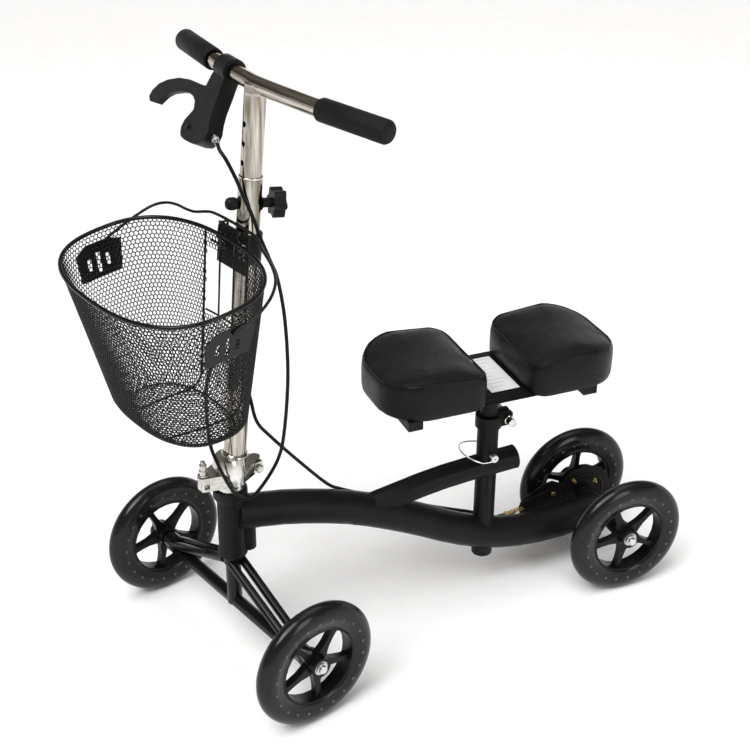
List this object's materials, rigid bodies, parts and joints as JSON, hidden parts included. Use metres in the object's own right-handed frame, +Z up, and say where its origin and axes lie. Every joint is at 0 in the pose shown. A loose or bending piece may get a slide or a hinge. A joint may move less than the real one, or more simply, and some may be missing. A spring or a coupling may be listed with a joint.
{
  "type": "knee scooter",
  "caption": "Steerable knee scooter with spoked wheels, split padded knee rest, folding chrome stem, swept handlebar with a hand brake, and a wire basket.",
  "frame": {"origin": "on the ground, under the middle of the whole object's footprint, the truck turned left as it stands", "axes": "+Z up, -Y forward, +X the scooter's left"},
  "size_m": [0.4776, 0.901, 0.8647],
  "materials": {
    "satin_black": "satin black powder coat",
    "gloss_black": "gloss black paint",
    "chrome": "bright chrome plate",
    "zinc": "bright zinc plate",
    "brass": "yellow passivated",
    "steel": "ground steel",
    "wheel_plastic": "moulded black",
    "tyre": "glossy dark polyurethane",
    "grip_rubber": "matt black",
    "moulded_plastic": "fine moulded grain",
    "vinyl": "embossed black vinyl",
    "board": "black-stained board",
    "cable_black": "black cable jacket"
  },
  "bodies": {
    "frame": {"frame": "satin_black", "branch_end_plug": "moulded_plastic", "headset_bearing_upper": "steel", "headset_bearing_lower": "steel", "rear_axle": "zinc", "seat_clamp_collar": "satin_black", "seat_clamp_bolt": "chrome", "brake_plate": "satin_black", "brake_anchor_bolt": "brass", "rear_cable_adjuster": "brass", "brake_cable": "cable_black"},
    "truck": {"front_truck": "gloss_black", "headset_cover": "satin_black", "front_axle_bolt_left": "zinc", "front_axle_bolt_right": "zinc", "stem_clamp_lower": "chrome", "fold_pin": "chrome"},
    "stem": {"stem_clamp_upper": "chrome", "stem_tube": "chrome", "stem_sleeve": "chrome", "height_bolt": "moulded_plastic", "basket_bracket": "moulded_plastic"},
    "latch": {"latch_lever": "chrome"},
    "handlebar": {"handlebar": "chrome", "grip_left": "grip_rubber", "grip_right": "grip_rubber", "brake_housing": "moulded_plastic", "lever_pivot_pin": "steel", "cable_adjuster": "zinc"},
    "brake_lever": {"brake_lever": "moulded_plastic"},
    "height_knob": {"height_knob": "moulded_plastic"},
    "basket": {"basket": "gloss_black", "basket_plate_left": "gloss_black", "basket_plate_right": "gloss_black"},
    "bail": {"basket_bail": "gloss_black"},
    "wheel_front_left": {"rim_front_left": "wheel_plastic", "tyre_front_left": "tyre", "bearing_front_left": "steel"},
    "wheel_front_right": {"rim_front_right": "wheel_plastic", "tyre_front_right": "tyre", "bearing_front_right": "steel"},
    "wheel_rear_left": {"rim_rear_left": "wheel_plastic", "tyre_rear_left": "tyre", "bearing_rear_left": "steel"},
    "wheel_rear_right": {"rim_rear_right": "wheel_plastic", "tyre_rear_right": "tyre", "bearing_rear_right": "steel", "brake_drum": "gloss_black"},
    "knee_rest": {"seat_post": "satin_black", "seat_plate": "satin_black", "pad_board_front": "board", "pad_board_rear": "board", "pad_front": "vinyl", "pad_rear": "vinyl"},
    "seat_clamp_lever": {"seat_clamp_lever": "chrome"},
    "safety_pin": {"safety_pin": "zinc"},
    "pin_loop": {"pin_loop": "zinc"},
    "brake_arm": {"brake_arm": "satin_black"}
  },
  "joints": [
    {"name": "steering", "type": "hinge", "parent": "frame", "child": "truck", "pos_m": [0.0172, -0.2516, 0.22], "axis": [0, 0, 1], "range_deg": [-61, 28.8], "deforming": ["brake_cable"]},
    {"name": "stem_fold", "type": "hinge", "parent": "truck", "child": "stem", "pos_m": [0.00548, -0.21127, 0.302], "axis": [-0.9603, -0.279, 0], "range_deg": [0, 42], "deforming": ["brake_cable"]},
    {"name": "latch_swing", "type": "hinge", "parent": "truck", "child": "latch", "pos_m": [0.02892, -0.29193, 0.302], "axis": [0.9603, 0.279, 0], "range_deg": [0, 90]},
    {"name": "handlebar_height", "type": "slide", "parent": "stem", "child": "handlebar", "axis": [-0.0292, 0.1004, 0.9945], "range_m": [-0.04, 0.12], "deforming": ["brake_cable"]},
    {"name": "height_knob_turn", "type": "hinge", "parent": "stem", "child": "height_knob", "pos_m": [0.00465, -0.17519, 0.69248], "axis": [0.0329, 0.9945, -0.0994], "range_deg": [0, 360]},
    {"name": "brake_lever_pull", "type": "hinge", "parent": "handlebar", "child": "brake_lever", "pos_m": [-0.09099, -0.24499, 0.76798], "axis": [-0.1069, 0.8782, -0.4661], "range_deg": [0, 10], "stiffness_Nm_per_rad": 3},
    {"name": "brake_arm_turn", "type": "hinge", "parent": "frame", "child": "brake_arm", "pos_m": [-0.0238, 0.2914, 0.1133], "axis": [-1, 0, 0], "range_deg": [0, 5]},
    {"name": "basket_lift", "type": "slide", "parent": "stem", "child": "basket", "axis": [0, 0, 1], "range_m": [0, 0.009]},
    {"name": "bail_swing", "type": "hinge", "parent": "basket", "child": "bail", "pos_m": [0.04161, -0.33563, 0.615], "axis": [0.9603, 0.279, 0], "range_deg": [0, 165]},
    {"name": "wheel_front_left_spin", "type": "hinge", "parent": "truck", "child": "wheel_front_left", "pos_m": [0.2035, -0.19748, 0.0953], "axis": [0.9603, 0.279, 0], "continuous": true},
    {"name": "wheel_front_right_spin", "type": "hinge", "parent": "truck", "child": "wheel_front_right", "pos_m": [-0.1691, -0.30572, 0.0953], "axis": [0.9603, 0.279, 0], "continuous": true},
    {"name": "wheel_rear_left_spin", "type": "hinge", "parent": "frame", "child": "wheel_rear_left", "pos_m": [0.10095, 0.3554, 0.0953], "axis": [1, 0, 0], "continuous": true},
    {"name": "wheel_rear_right_spin", "type": "hinge", "parent": "frame", "child": "wheel_rear_right", "pos_m": [-0.06655, 0.3554, 0.0953], "axis": [1, 0, 0], "continuous": true},
    {"name": "knee_rest_height", "type": "slide", "parent": "frame", "child": "knee_rest", "axis": [0, 0, 1], "range_m": [-0.03, 0.08]},
    {"name": "seat_clamp_open", "type": "hinge", "parent": "frame", "child": "seat_clamp_lever", "pos_m": [0.0172, 0.1774, 0.3025], "axis": [-1, 0, 0], "range_deg": [0, 110]},
    {"name": "safety_pin_pull", "type": "slide", "parent": "frame", "child": "safety_pin", "axis": [1, 0, 0], "range_m": [0, 0.008]},
    {"name": "pin_loop_open", "type": "hinge", "parent": "safety_pin", "child": "pin_loop", "pos_m": [0.0434, 0.1499, 0.248], "axis": [1, 0, 0], "range_deg": [-30, 8]}
  ],
  "couplings": [
    {"joint": "brake_arm_turn", "follows": "brake_lever_pull", "ratio": 0.5}
  ]
}
